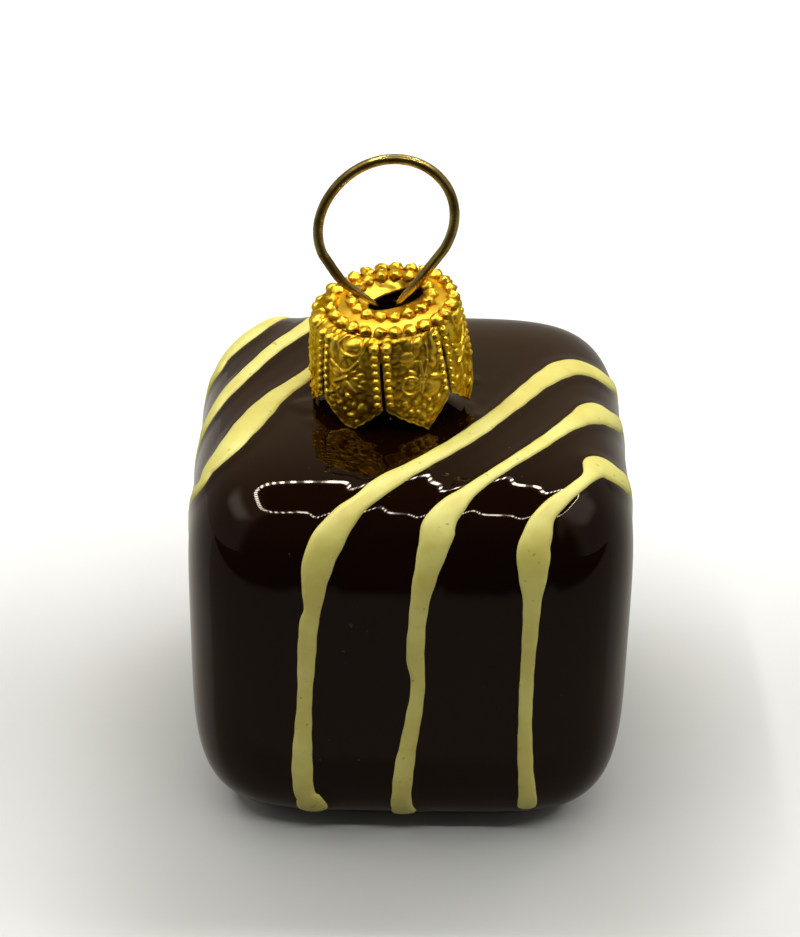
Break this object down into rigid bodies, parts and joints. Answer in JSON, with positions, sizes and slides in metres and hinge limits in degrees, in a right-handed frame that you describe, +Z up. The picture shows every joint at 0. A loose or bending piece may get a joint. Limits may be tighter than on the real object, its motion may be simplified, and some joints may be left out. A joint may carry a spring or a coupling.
{
  "type": "chocolate bonbon ornament",
  "caption": "Hanging glass ornament shaped as a square chocolate bonbon with pale icing lines, a gold crown cap and a wire loop.",
  "frame": {"origin": "middle of the flat spot on the underside that the body rests on, under the middle of the body", "axes": "+Z up through the body towards the cap and loop; -Y is the front, the face with the three icing lines that the picture shows; +X is to its right"},
  "size_m": [0.0326, 0.0326, 0.0488],
  "materials": {
    "dark_lacquer": "opaque dark brown lacquer on glass, high gloss",
    "icing": "raised pale butter yellow enamel, satin",
    "gold_sheet": "bright gold coloured embossed sheet",
    "aged_brass": "brass wire, browned and slightly uneven"
  },
  "bodies": {
    "root": {"bonbon": "dark_lacquer", "crown_cap": "gold_sheet", "wire_loop": "aged_brass"}
  },
  "joints": []
}
